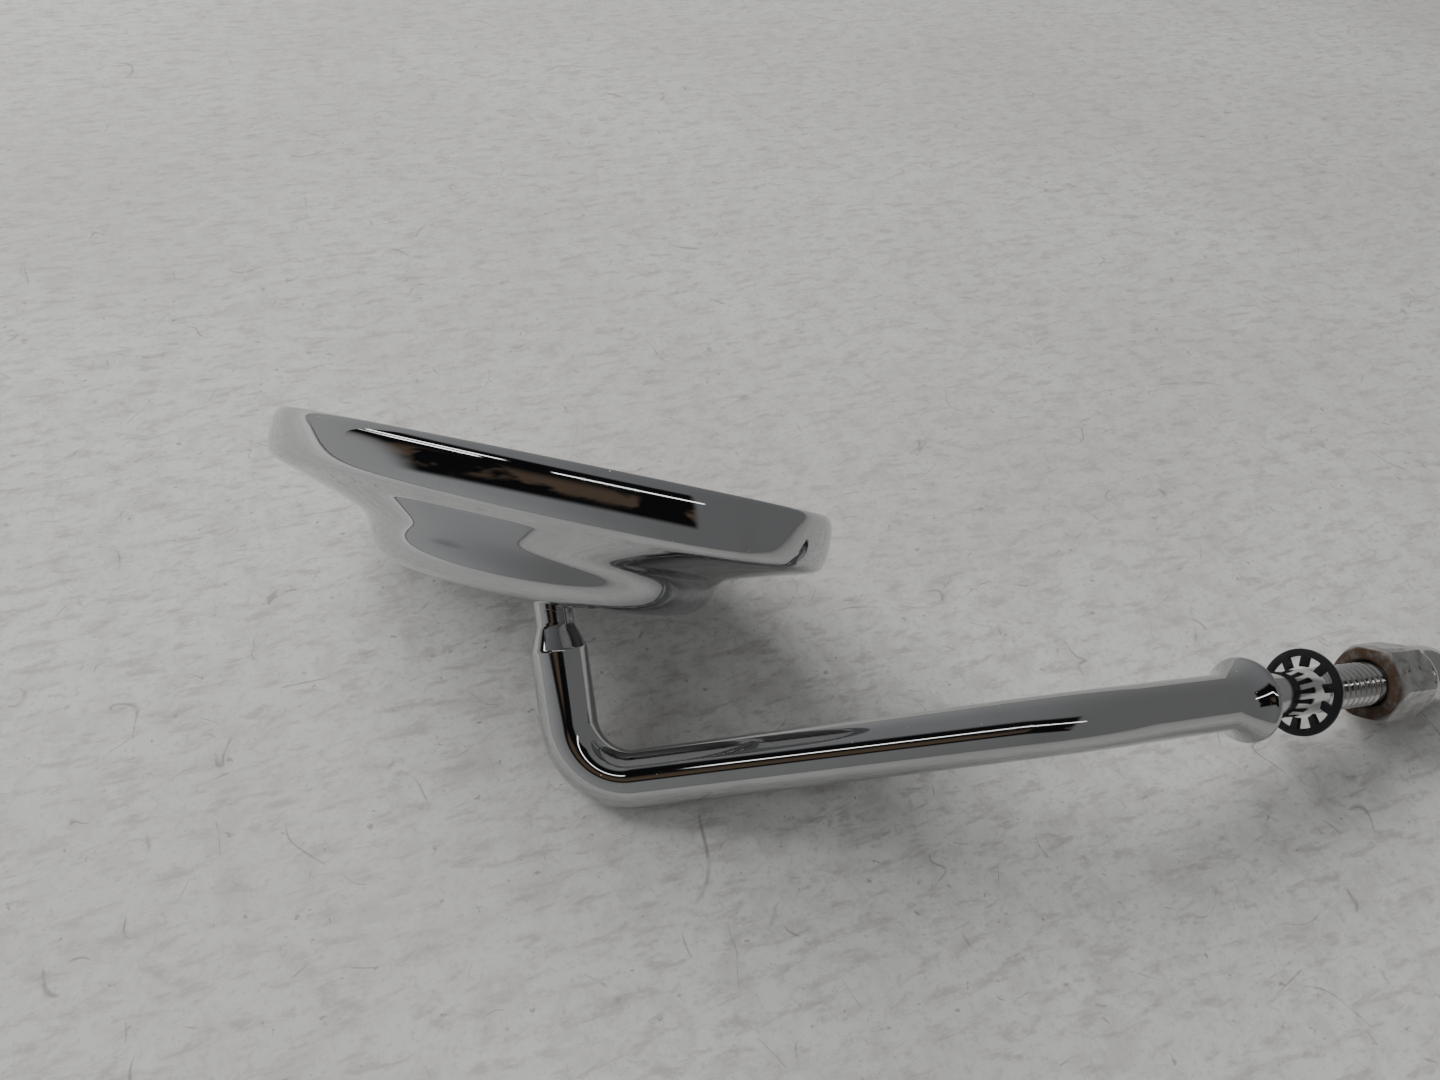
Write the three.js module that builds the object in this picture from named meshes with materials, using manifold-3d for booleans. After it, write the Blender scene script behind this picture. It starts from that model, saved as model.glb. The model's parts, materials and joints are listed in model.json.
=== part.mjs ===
// A handlebar mirror: a bent chrome stem with a threaded stud, lock washer and acorn nut at one end,
// and at the other a ball that carries an oval chrome head with a convex mirror glass.
// Millimetres, +Z up. The mirror lies on a flat surface at Z = 0, on its nut, its elbow and its rim.

import * as THREE from "three";
import { LoftGeometry } from "three/addons/geometries/LoftGeometry.js";
import { ConvexHull } from "three/addons/math/ConvexHull.js";
import { mergeVertices } from "three/addons/utils/BufferGeometryUtils.js";
import Module from "manifold-3d";

const wasm = await Module();
wasm.setup();

// ---- Clearances and facets

const gap = 0.3; // between two pieces that touch, turn or slide on each other
const rodSides = 16;
const headSides = 40;
const ballSides = 20;
const screwSides = 12;

// ---- Stem: rod, collar and bends

const rodDiameter = 9.525;
const collarDiameter = 14.4;
const collarRim = 1.2; // straight edge of the collar behind its seat
const collarFlare = 5.6; // length over which the collar runs down to the rod
const seatToBend = 25.7;
const bendAngle = 32.5;
const bendRadius = 33.3;
const middleLength = 61.8;
const elbowAngle = 90;
const elbowRadius = 10.4;
const elbowTwist = -8.9; // turn of the elbow about the middle stretch
const postLength = 12.7;
const coneLength = 4;
const neckDiameter = 6.4;
const neckToBall = 10.4; // end of the cone to the centre of the ball
const ballDiameter = 11;
const ballTopAngle = 150; // the ball ends in a small flat past this angle

// ---- Stud, lock washer and nut

const studDiameter = 7.94;
const shankLength = 16.4; // plain stretch next to the seat
const studLength = 36.9;
const threadPitch = 1.411;
const threadDepth = 0.8;
const washerDistance = 13.6; // seat to the middle of the lock washer
const washerDiameter = 15.2;
const washerThickness = 0.8;
const washerTeeth = 10;
const washerToothLength = 1.7;
const washerBoreClearance = 0.45; // the loose washer leans on the shank
const washerLean = 9.8;
const washerLeanFacing = 7;
const nutDistance = 30.5; // seat to the bearing face of the nut
const nutAcrossFlats = 12.7;
const nutLength = 10;
const nutChamfer = 1.3;
const nutTurn = 20; // how far the hexagon stands turned about the stud
const capDiameter = 12.3;
const capLength = 11.8;
const capWall = 1.5;
const capShoulder = 4.2; // straight stretch of the cap before its round end

// ---- Head: outline and levels, measured along the head's own axis from the ball's centre

const rimHalfLength = 54.5;
const rimHalfWidth = 34.6;
const rimSquareness = 2.05; // exponent of the rim's superellipse, 2 being an ellipse
const rimTaper = -0.04; // share by which the long end is wider and the short end narrower
const rimAlong = -7.6; // centre of the rim from the ball, along the head
const rimAcross = 2.7; // and across it
const domeHalfLength = 28.6;
const domeHalfWidth = 29.2;
const domeCorner = 4.7;
const domeCrown = 2.2; // rise of the dome's bottom from its centre to its corner
const domeDepth = 5.6; // ball's centre down to the dome's bottom
const undersideCurve = 0.9; // above 1, the underside is steeper by the dome than by the rim
const rimBottom = 8.2;
const rimTop = 17.3;
const rimBottomRound = 1.3;
const rimTopRound = 3.1;
const rimThickness = 2.2;
const shellWall = 1.8;
const ledgeWidth = 2.5; // ledge inside the rim that the backing rests on

// ---- Head: how it stands on its ball

const leanFacing = 165.1;
const lean = 21;
const heading = -14.6;

// ---- Lying pose

const lyingRoll = -55;
const lyingPitch = 14;
const settleReach = 25; // the supporting face is looked for within this angle of the pose above

// ---- Ball socket and its clamp

const linerThickness = 0.8;
const linerOpening = 36; // polar angle where the lower liner starts
const linerTop = 78;
const upperLinerReach = 62;
const upperLinerBore = 1.4;
const tiltReach = 28; // furthest lean of the post in its socket
const socketHeight = 0.6; // top of the socket below the ball's centre
const socketWall = 3.8;
const pressureCupDiameter = 18;
const pressureCupBore = 3;
const pressureCupCrown = 0.8;
const pressureCupReach = 75;
const springThickness = 0.4;
const springRise = 0.5;
const plateThickness = 1.2;
const plateRadius = 20;
const plateEar = 5;
const plateBore = 3.5;
const screwCount = 3;
const screwCircle = 15.8;
const screwTurn = 30;
const screwDiameter = 3;
const screwLength = 8.6;
const screwHeadDiameter = 5.6;
const screwHeadHeight = 1.2;
const screwSocket = 1.3; // half width of the drive recess
const screwSocketDepth = 0.7;
const splitWasherThickness = 0.6;
const splitWasherDiameter = 5.4;
const splitWasherSlit = 0.5;
const bossRadius = 3.4;

// ---- Glass and what holds it

const backingThickness = 0.7;
const padThickness = 0.4;
const glassThickness = 1.7;
const glassCrown = 1.3; // how far the middle of the convex glass stands above its edge
const gasketThickness = 1;
const gasketHeight = 3;

// ---- Values that follow from the ones above

const linerInner = ballDiameter / 2 + gap;
const linerOuter = linerInner + linerThickness;
const socketRadius = linerOuter + gap;
const cupTop = Math.sqrt(socketRadius ** 2 - pressureCupBore ** 2) + pressureCupCrown;
const springBottom = cupTop + gap;
const plateBottom = springBottom + springThickness + springRise + gap;
const plateTop = plateBottom + plateThickness;
const splitWasherBottom = plateTop + gap;
const screwHeadBottom = splitWasherBottom + splitWasherThickness + gap;
const backingBottom = screwHeadBottom + screwHeadHeight + gap;
const padBottom = backingBottom + backingThickness + gap;
const glassBottom = padBottom + padThickness + gap;
const ledge = backingBottom - gap;
const glassInset = rimThickness + gasketThickness + 2 * gap;
const neckAngle = THREE.MathUtils.radToDeg(Math.asin(neckDiameter / 2 / socketRadius));
const socketOpening = tiltReach + neckAngle + 2;
const neckHoleRadius =
  domeDepth * Math.tan(rad(tiltReach)) + neckDiameter / 2 / Math.cos(rad(tiltReach)) + gap;
const screwHoleRadius = screwDiameter / 2 + gap;

function rad(degrees) {
  return THREE.MathUtils.degToRad(degrees);
}

// ---- Materials

const chrome = { color: 0xc9ccd0, roughness: 0.08, metalness: 1 };
const zinc = { color: 0x8f8f8c, roughness: 0.5, metalness: 0.9 };
const blackOxide = { color: 0x26272a, roughness: 0.45, metalness: 0.8 };
const springSteel = { color: 0x75787c, roughness: 0.35, metalness: 1 };
const nylon = { color: 0x1d1e20, roughness: 0.55, metalness: 0 };
const rubber = { color: 0x151617, roughness: 0.8, metalness: 0 };
const mirrorCoat = { color: 0xe8edf0, roughness: 0.02, metalness: 1 };

function piece(name, geometry, finish) {
  const mesh = new THREE.Mesh(geometry, new THREE.MeshStandardMaterial(finish));
  mesh.name = name;
  return mesh;
}

// ---- Shape helpers

function point(x, y) {
  return new THREE.Vector2(x, y);
}

function arc(centreX, centreY, radius, fromDegrees, toDegrees, steps) {
  const points = [];
  for (let i = 0; i <= steps; i++) {
    const angle = rad(THREE.MathUtils.lerp(fromDegrees, toDegrees, i / steps));
    points.push(point(centreX + radius * Math.cos(angle), centreY + radius * Math.sin(angle)));
  }
  return points;
}

// A profile of (radius, height) points turned about the Z axis. It closes on itself or ends on the axis.
function turned(profile, sides) {
  const ordered = THREE.ShapeUtils.area(profile) > 0 ? [...profile] : [...profile].reverse();
  const onAxis = ordered[0].x === 0 && ordered[ordered.length - 1].x === 0;
  if (!onAxis) ordered.push(ordered[0].clone());
  return new THREE.LatheGeometry(ordered, sides).rotateX(Math.PI / 2);
}

function extruded(shape, height, curveSegments) {
  return new THREE.ExtrudeGeometry(shape, { depth: height, bevelEnabled: false, curveSegments });
}

// A superellipse at a level of the head; taper makes it an egg.
function outline(level) {
  const { z, halfLength, halfWidth, squareness = 2, taper = 0, centreX = 0, centreY = 0 } = level;
  const points = [];
  for (let i = 0; i < headSides; i++) {
    const angle = (2 * Math.PI * i) / headSides;
    const along = Math.sign(Math.cos(angle)) * Math.abs(Math.cos(angle)) ** (2 / squareness);
    const across = Math.sign(Math.sin(angle)) * Math.abs(Math.sin(angle)) ** (2 / squareness);
    const width = halfWidth * (1 + taper * along);
    points.push(new THREE.Vector3(centreX + halfLength * along, centreY + width * across, z));
  }
  return points;
}

function circleLevel(radius, z) {
  return { z, halfLength: radius, halfWidth: radius };
}

function rimLevel(inset, z) {
  return {
    z,
    halfLength: rimHalfLength - inset,
    halfWidth: rimHalfWidth - inset,
    squareness: rimSquareness,
    taper: rimTaper,
    centreX: rimAlong,
    centreY: rimAcross,
  };
}

function mixLevels(a, b, share, z) {
  const mix = (key, fallback) => THREE.MathUtils.lerp(a[key] ?? fallback, b[key] ?? fallback, share);
  return {
    z,
    halfLength: mix("halfLength"),
    halfWidth: mix("halfWidth"),
    squareness: mix("squareness", 2),
    taper: mix("taper", 0),
    centreX: mix("centreX", 0),
    centreY: mix("centreY", 0),
  };
}

// ---- Solids for joining and cutting

function toSolid(geometry) {
  const bare = geometry.index ? geometry.toNonIndexed() : geometry.clone();
  bare.deleteAttribute("normal");
  bare.deleteAttribute("uv");
  const merged = mergeVertices(bare, 1e-4);
  const mesh = new wasm.Mesh({
    numProp: 3,
    vertProperties: merged.attributes.position.array,
    triVerts: new Uint32Array(merged.index.array),
  });
  return new wasm.Manifold(mesh);
}

function toGeometry(solid) {
  const mesh = solid.getMesh();
  const geometry = new THREE.BufferGeometry();
  geometry.setAttribute("position", new THREE.Float32BufferAttribute(mesh.vertProperties, 3));
  geometry.setIndex(new THREE.Uint32BufferAttribute(mesh.triVerts, 1));
  geometry.computeVertexNormals();
  return geometry;
}

function cylinder(radius, bottom, top, x = 0, y = 0) {
  return new THREE.CylinderGeometry(radius, radius, top - bottom, screwSides)
    .rotateX(Math.PI / 2)
    .translate(x, y, (top + bottom) / 2);
}

// ---- The stem's centreline: a frame whose X axis is the direction of travel

class Walker {
  constructor(matrix) {
    this.matrix = matrix.clone();
    this.sections = [];
  }
  advance(distance) {
    this.matrix.multiply(new THREE.Matrix4().makeTranslation(distance, 0, 0));
    return this;
  }
  ring(radius) {
    const section = [];
    for (let i = 0; i < rodSides; i++) {
      const angle = (2 * Math.PI * i) / rodSides;
      const local = new THREE.Vector3(0, radius * Math.cos(angle), radius * Math.sin(angle));
      section.push(local.applyMatrix4(this.matrix));
    }
    this.sections.push(section);
    return this;
  }
  bend(axis, degrees, bendRadiusOfPath, steps, radius) {
    const turn = rad(degrees) / steps;
    const chord = 2 * bendRadiusOfPath * Math.sin(turn / 2);
    for (let i = 0; i < steps; i++) {
      this.matrix.multiply(new THREE.Matrix4().makeRotationAxis(axis, turn / 2));
      this.advance(chord);
      this.matrix.multiply(new THREE.Matrix4().makeRotationAxis(axis, turn / 2));
      this.ring(radius);
    }
    return this;
  }
}

function addStud(walker) {
  const crest = studDiameter / 2;
  const root = crest - threadDepth;
  const turns = Math.floor((studLength - shankLength) / threadPitch);
  const lead = studLength - shankLength - turns * threadPitch;
  walker.ring(root - threadDepth / 2).advance(lead);
  for (let i = 0; i < turns; i++) {
    walker.ring(root).advance(threadPitch / 2);
    walker.ring(crest).advance(threadPitch / 2);
  }
  walker.ring(root).advance(threadDepth).ring(crest);
  walker.advance(shankLength - threadDepth).ring(crest);
}

function addCollar(walker) {
  const rim = collarDiameter / 2;
  const rod = rodDiameter / 2;
  const edge = 0.3;
  walker.ring(rim - edge).advance(edge).ring(rim);
  walker.advance(collarRim - edge).ring(rim);
  const steps = 5;
  for (let i = 1; i <= steps; i++) {
    const share = i / steps;
    walker.advance(collarFlare / steps).ring(rod + (rim - rod) * (1 - share) ** 2);
  }
}

function addBallEnd(walker) {
  const neck = neckDiameter / 2;
  const ball = ballDiameter / 2;
  walker.advance(postLength).ring(rodDiameter / 2);
  walker.advance(coneLength).ring(neck);
  const meet = Math.asin(neck / ball);
  walker.advance(neckToBall - ball * Math.cos(meet)).ring(neck);
  const steps = 8;
  let along = -ball * Math.cos(meet);
  for (let i = 1; i <= steps; i++) {
    const angle = THREE.MathUtils.lerp(meet, rad(ballTopAngle), i / steps);
    const next = -ball * Math.cos(angle);
    walker.advance(next - along).ring(ball * Math.sin(angle));
    along = next;
  }
  return along;
}

// The stem from the stud's tip to the ball, with the frame at the ball's centre, Z along the post.
function makeStem() {
  const start = new THREE.Matrix4().makeRotationZ(Math.PI).setPosition(studLength, 0, 0);
  const walker = new Walker(start);
  const rod = rodDiameter / 2;
  addStud(walker);
  addCollar(walker);
  walker.advance(seatToBend - collarRim - collarFlare).ring(rod);
  walker.bend(new THREE.Vector3(0, 0, -1), bendAngle, bendRadius, 5, rod);
  walker.advance(middleLength).ring(rod);
  const twist = rad(elbowTwist);
  const elbowAxis = new THREE.Vector3(0, -Math.cos(twist), -Math.sin(twist));
  walker.bend(elbowAxis, elbowAngle, elbowRadius, 9, rod);
  const pastCentre = addBallEnd(walker);
  const ballFrame = walker.advance(-pastCentre).matrix.clone();
  ballFrame.multiply(new THREE.Matrix4().makeRotationY(Math.PI / 2));
  const geometry = new LoftGeometry(walker.sections, { capStart: true, capEnd: true });
  return { stem: piece("stem", geometry, chrome), ballFrame };
}

// ---- Lock washer and nut, about the stud's X axis

function makeLockWasher() {
  const outer = washerDiameter / 2;
  const tip = studDiameter / 2 + washerBoreClearance;
  const rootCircle = tip + washerToothLength;
  const shape = new THREE.Shape(arc(0, 0, outer, 0, 360 - 360 / 40, 39));
  const hole = new THREE.Path();
  const step = 360 / washerTeeth;
  const corners = [];
  for (let i = 0; i < washerTeeth; i++) {
    corners.push(...arc(0, 0, tip, i * step, i * step + step * 0.55, 2));
    corners.push(...arc(0, 0, rootCircle, i * step + step * 0.66, i * step + step * 0.89, 1));
  }
  hole.setFromPoints(corners.reverse());
  shape.holes.push(hole);
  const washer = piece("lock_washer", extruded(shape, washerThickness, 1), blackOxide);
  washer.geometry.translate(0, 0, -washerThickness / 2).rotateY(Math.PI / 2);
  const facing = rad(washerLeanFacing);
  const leanAxis = new THREE.Vector3(0, Math.cos(facing), Math.sin(facing));
  washer.quaternion.setFromAxisAngle(leanAxis, rad(washerLean));
  washer.position.x = washerDistance;
  return washer;
}

// The hexagon is a prism cut back by two cones, so that its corners are chamfered at both ends.
function makeNutBody() {
  const corner = nutAcrossFlats / 2 / Math.cos(Math.PI / 6);
  const flat = nutAcrossFlats / 2;
  const bore = studDiameter / 2 + gap;
  const prism = new THREE.CylinderGeometry(corner, corner, nutLength, 6).rotateX(Math.PI / 2);
  const bound = [
    point(bore, -nutLength / 2),
    point(flat, -nutLength / 2),
    point(corner + 0.1, -nutLength / 2 + nutChamfer),
    point(corner + 0.1, nutLength / 2 - nutChamfer),
    point(flat, nutLength / 2),
    point(bore, nutLength / 2),
  ];
  const solid = toSolid(prism).intersect(toSolid(turned(bound, 24)));
  const body = piece("nut_body", toGeometry(solid), zinc);
  body.geometry.rotateY(Math.PI / 2).translate(nutLength / 2, 0, 0);
  body.position.x = nutDistance;
  body.rotation.x = rad(nutTurn);
  return body;
}

function makeNutCap() {
  const outer = capDiameter / 2;
  const inner = outer - capWall;
  const steps = 6;
  const outside = [];
  const inside = [];
  for (let i = 0; i < steps; i++) {
    const angle = ((Math.PI / 2) * i) / steps;
    const narrowing = Math.cos(angle) ** 0.8;
    const rise = (capLength - capShoulder) * Math.sin(angle);
    outside.push(point(outer * narrowing, capShoulder + rise));
    inside.push(point(inner * narrowing, capShoulder - capWall + rise));
  }
  outside.push(point(0, capLength));
  inside.push(point(0, capLength - capWall));
  const profile = [...inside.reverse(), point(inner, 0), point(outer, 0), ...outside];
  const cap = piece("nut_cap", turned(profile, 20).rotateY(Math.PI / 2), zinc);
  cap.position.x = nutDistance + nutLength + gap;
  return cap;
}

// ---- Head shell: levels from the neck hole out and up to the rim, then back down inside

const domeFloor = {
  halfLength: domeHalfLength - domeCorner,
  halfWidth: domeHalfWidth - domeCorner,
};
const domeWallFoot = -domeDepth + domeCrown + domeCorner;

function domeLevels(wall, lift, startRadius) {
  const levels = [];
  const steps = 3;
  const length = domeFloor.halfLength;
  for (let i = 0; i <= steps; i++) {
    const reach = THREE.MathUtils.lerp(startRadius / length, 1, i / steps);
    const z = -domeDepth + lift + domeCrown * reach ** 2;
    levels.push(mixLevels(circleLevel(startRadius), domeFloor, i / steps, z));
  }
  const corner = domeCorner - wall;
  for (let i = 1; i <= 3; i++) {
    const angle = rad(30 * i);
    levels.push({
      z: domeWallFoot - corner * Math.cos(angle),
      halfLength: domeFloor.halfLength + corner * Math.sin(angle),
      halfWidth: domeFloor.halfWidth + corner * Math.sin(angle),
    });
  }
  return levels;
}

// The underside runs out from the dome to the rim, steep at first and then flatter.
function undersideLevels(dome, rim) {
  const levels = [];
  const steps = 5;
  for (let i = 1; i < steps; i++) {
    const share = i / steps;
    const rise = 1 - (1 - share) ** undersideCurve;
    levels.push(mixLevels(dome, rim, share, dome.z + (rim.z - dome.z) * rise));
  }
  return levels;
}

function rimBand() {
  const levels = [];
  for (const angle of [rad(45), rad(90)]) {
    const inset = rimBottomRound * (1 - Math.sin(angle));
    levels.push(rimLevel(inset, rimBottom + rimBottomRound * (1 - Math.cos(angle))));
  }
  for (const angle of [0, rad(30), rad(60), rad(90)]) {
    const inset = (rimTopRound / 2) * (1 - Math.cos(angle));
    levels.push(rimLevel(inset, rimTop - rimTopRound * (1 - Math.sin(angle))));
  }
  return levels;
}

function shellOutside() {
  const dome = domeLevels(0, 0, neckHoleRadius);
  const rim = rimLevel(rimBottomRound, rimBottom);
  return [...dome, ...undersideLevels(dome[dome.length - 1], rim), rim, ...rimBand()];
}

// Inside: the rim's wall, the ledge under the glass, the floor of the dome, and the ball's socket.
function shellInside() {
  const foot = socketRadius + socketWall;
  const dome = domeLevels(shellWall, shellWall, foot).reverse();
  const edge = rimLevel(rimThickness + ledgeWidth, ledge);
  const slope = undersideLevels(edge, dome[0]);
  const socket = [circleLevel(foot, -socketHeight)];
  const steps = 5;
  const topAngle = THREE.MathUtils.radToDeg(Math.acos(socketHeight / socketRadius));
  for (let i = 0; i <= steps; i++) {
    const angle = rad(THREE.MathUtils.lerp(topAngle, socketOpening, i / steps));
    socket.push(circleLevel(socketRadius * Math.sin(angle), -socketRadius * Math.cos(angle)));
  }
  return [
    rimLevel(rimThickness, rimTop),
    rimLevel(rimThickness, ledge),
    edge,
    ...slope,
    ...dome,
    ...socket,
  ];
}

function screwPlaces() {
  const places = [];
  for (let i = 0; i < screwCount; i++) {
    const angle = rad(screwTurn + (360 * i) / screwCount);
    places.push({ x: screwCircle * Math.cos(angle), y: screwCircle * Math.sin(angle), angle });
  }
  return places;
}

function makeShell() {
  const levels = [...shellOutside(), ...shellInside()];
  const sections = levels.map(outline);
  sections.push(sections[0].map((corner) => corner.clone()));
  let solid = toSolid(new LoftGeometry(sections));
  const bossFoot = -domeDepth + domeCrown;
  const bossTop = plateBottom - gap;
  const holeFloor = screwHeadBottom - screwLength - gap;
  for (const { x, y } of screwPlaces()) {
    solid = solid.add(toSolid(cylinder(bossRadius, bossFoot, bossTop, x, y)));
    solid = solid.subtract(toSolid(cylinder(screwHoleRadius, holeFloor, bossTop + 1, x, y)));
  }
  return piece("back_shell", toGeometry(solid), chrome);
}

// ---- Ball socket: two liners, the pressure cup, its spring and the retainer plate

function sphereZone(inner, outer, fromDegrees, toDegrees, steps) {
  const outside = arc(0, 0, outer, fromDegrees, toDegrees, steps);
  return [...outside, ...arc(0, 0, inner, toDegrees, fromDegrees, steps)];
}

function makeLowerLiner() {
  const profile = sphereZone(linerInner, linerOuter, linerOpening - 90, linerTop - 90, 5);
  return piece("lower_liner", turned(profile, ballSides), nylon);
}

function makeUpperLiner() {
  const bore = THREE.MathUtils.radToDeg(Math.asin(upperLinerBore / linerInner));
  const profile = sphereZone(linerInner, linerOuter, 90 - upperLinerReach, 90 - bore, 5);
  return piece("upper_liner", turned(profile, ballSides), nylon);
}

function makePressureCup() {
  const bore = THREE.MathUtils.radToDeg(Math.acos(pressureCupBore / socketRadius));
  const bottom = socketRadius * Math.sin(rad(90 - pressureCupReach));
  const shoulder = cupTop - 2;
  const profile = [
    ...arc(0, 0, socketRadius, bore, 90 - pressureCupReach, 6),
    point(pressureCupDiameter / 2, bottom),
    point(pressureCupDiameter / 2, shoulder),
    point(pressureCupDiameter / 2 - 2, cupTop),
    point(pressureCupBore, cupTop),
  ];
  return piece("pressure_cup", turned(profile, ballSides), springSteel);
}

function makeDiscSpring() {
  const inner = pressureCupBore + gap;
  const outer = pressureCupDiameter / 2 - 1.5;
  const profile = [
    point(outer, springBottom),
    point(outer, springBottom + springThickness),
    point(inner, springBottom + springRise + springThickness),
    point(inner, springBottom + springRise),
  ];
  return piece("disc_spring", turned(profile, ballSides), springSteel);
}

function makeRetainerPlate() {
  const shape = new THREE.Shape();
  const corners = [];
  for (const { angle } of screwPlaces()) {
    const facing = THREE.MathUtils.radToDeg(angle);
    const centre = plateRadius - plateEar;
    const x = centre * Math.cos(angle);
    const y = centre * Math.sin(angle);
    corners.push(...arc(x, y, plateEar, facing - 60, facing + 60, 6));
  }
  shape.setFromPoints(corners);
  shape.holes.push(new THREE.Path(arc(0, 0, plateBore, 0, 345, 23).reverse()));
  for (const { x, y } of screwPlaces()) {
    shape.holes.push(new THREE.Path(arc(x, y, screwHoleRadius, 0, 330, 11).reverse()));
  }
  const geometry = extruded(shape, plateThickness, 1).translate(0, 0, plateBottom);
  return piece("retainer_plate", geometry, springSteel);
}

function makeSplitWasher() {
  const shape = new THREE.Shape();
  const slit = THREE.MathUtils.radToDeg(splitWasherSlit / screwDiameter);
  const outside = arc(0, 0, splitWasherDiameter / 2, slit, 360 - slit, 14);
  const inside = arc(0, 0, screwHoleRadius, 360 - slit, slit, 14);
  shape.setFromPoints([...outside, ...inside]);
  return extruded(shape, splitWasherThickness, 1).translate(0, 0, splitWasherBottom);
}

function makeScrew() {
  const head = screwHeadDiameter / 2;
  const shank = screwDiameter / 2;
  const top = screwHeadBottom + screwHeadHeight;
  const profile = [
    point(0, screwHeadBottom - screwLength),
    point(shank - 0.4, screwHeadBottom - screwLength),
    point(shank, screwHeadBottom - screwLength + 0.4),
    point(shank, screwHeadBottom),
    point(head, screwHeadBottom),
    point(head, top - 0.5),
    point(head - 0.5, top),
    point(0, top),
  ];
  const recess = new THREE.CylinderGeometry(screwSocket, screwSocket, 2 * screwSocketDepth, 6)
    .rotateX(Math.PI / 2)
    .translate(0, 0, top);
  return toGeometry(toSolid(turned(profile, screwSides)).subtract(toSolid(recess)));
}

function makeClampScrews() {
  const pieces = [];
  screwPlaces().forEach(({ x, y, angle }, i) => {
    const screw = piece(`retainer_screw_${i + 1}`, makeScrew(), springSteel);
    const washer = piece(`split_washer_${i + 1}`, makeSplitWasher(), springSteel);
    for (const part of [screw, washer]) {
      part.position.set(x, y, 0);
      part.rotation.z = angle;
      pieces.push(part);
    }
  });
  return pieces;
}

// ---- Glass, its pad and backing, and the gasket round it

function flatSheet(inset, bottom, thickness) {
  const sections = [rimLevel(inset, bottom), rimLevel(inset, bottom + thickness)].map(outline);
  return new LoftGeometry(sections, { capStart: true, capEnd: true });
}

// A solid with a flat base and a domed top, which is level with height at the glass's edge.
function domedBlock(inset, base, height) {
  const levels = [{ ...rimLevel(inset, base) }];
  const glassEdge = rimLevel(glassInset, height);
  const spread = (rimHalfLength - inset) / glassEdge.halfLength;
  for (const share of [1, 0.75, 0.5, 0.25]) {
    levels.push({
      ...rimLevel(inset, height + glassCrown * (1 - (share * spread) ** 2)),
      halfLength: (rimHalfLength - inset) * share,
      halfWidth: (rimHalfWidth - inset) * share,
    });
  }
  return toSolid(new LoftGeometry(levels.map(outline), { capStart: true, capEnd: true }));
}

// The glass is bent: the same dome above and below.
function makeGlass() {
  const block = domedBlock(glassInset, glassBottom - 1, glassBottom + glassThickness);
  const under = domedBlock(glassInset - 1, glassBottom - 2, glassBottom);
  return piece("mirror_glass", toGeometry(block.subtract(under)), mirrorCoat);
}

function makeGasket() {
  const outer = rimThickness + gap;
  const inner = outer + gasketThickness;
  const bottom = padBottom;
  const top = bottom + gasketHeight;
  const soft = 0.3;
  const levels = [
    rimLevel(inner, bottom),
    rimLevel(outer, bottom),
    rimLevel(outer, top - soft),
    rimLevel(outer + soft, top),
    rimLevel(inner - soft, top),
    rimLevel(inner, top - soft),
  ];
  const sections = levels.map(outline);
  sections.push(sections[0].map((corner) => corner.clone()));
  return piece("glass_gasket", new LoftGeometry(sections), rubber);
}

// ---- Assembly

function makeHead(stemFrame) {
  const head = new THREE.Group();
  const stand = new THREE.Matrix4()
    .makeRotationZ(rad(leanFacing))
    .multiply(new THREE.Matrix4().makeRotationY(rad(lean)))
    .multiply(new THREE.Matrix4().makeRotationZ(rad(heading)));
  head.applyMatrix4(stemFrame.clone().multiply(stand));
  head.add(
    makeShell(),
    makeUpperLiner(),
    makePressureCup(),
    makeDiscSpring(),
    makeRetainerPlate(),
    ...makeClampScrews(),
    piece("glass_backing", flatSheet(rimThickness + gap, backingBottom, backingThickness), nylon),
    piece("foam_pad", flatSheet(glassInset, padBottom, padThickness), rubber),
    makeGlass(),
    makeGasket(),
  );
  return head;
}

function makeMirror() {
  const mirror = new THREE.Group();
  const { stem, ballFrame } = makeStem();
  const lowerLiner = makeLowerLiner();
  lowerLiner.applyMatrix4(ballFrame);
  mirror.add(stem, makeLockWasher(), makeNutBody(), makeNutCap(), lowerLiner, makeHead(ballFrame));
  return mirror;
}

// ---- Lying down: the group turns until its widest supporting face is level, and rests at Z = 0

function vertices(group) {
  const points = [];
  group.updateMatrixWorld(true);
  group.traverse((mesh) => {
    const place = mesh.geometry?.getAttribute("position");
    for (let i = 0; place && i < place.count; i++) {
      points.push(new THREE.Vector3().fromBufferAttribute(place, i).applyMatrix4(mesh.matrixWorld));
    }
  });
  return points;
}

function supportingFace(points, roughlyDown) {
  let best = null;
  for (const face of new ConvexHull().setFromPoints(points).faces) {
    const near = face.normal.dot(roughlyDown) > Math.cos(rad(settleReach));
    if (near && (!best || face.area > best.area)) best = face;
  }
  return best.normal.clone();
}

function layDown(mirror) {
  const roughly = new THREE.Euler(rad(lyingRoll), rad(lyingPitch), 0, "YXZ");
  mirror.setRotationFromEuler(roughly);
  const down = supportingFace(vertices(mirror), new THREE.Vector3(0, 0, -1));
  const level = new THREE.Quaternion().setFromUnitVectors(down, new THREE.Vector3(0, 0, -1));
  mirror.quaternion.premultiply(level);
  const box = new THREE.Box3().setFromPoints(vertices(mirror));
  const centre = box.getCenter(new THREE.Vector3());
  mirror.position.set(-centre.x, -centre.y, -box.min.z);
  return mirror;
}

const part = new THREE.Group();
part.add(layDown(makeMirror()));

export default part;
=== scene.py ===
import json
import math

import bmesh
import bpy
from mathutils import Matrix, Vector


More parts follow.
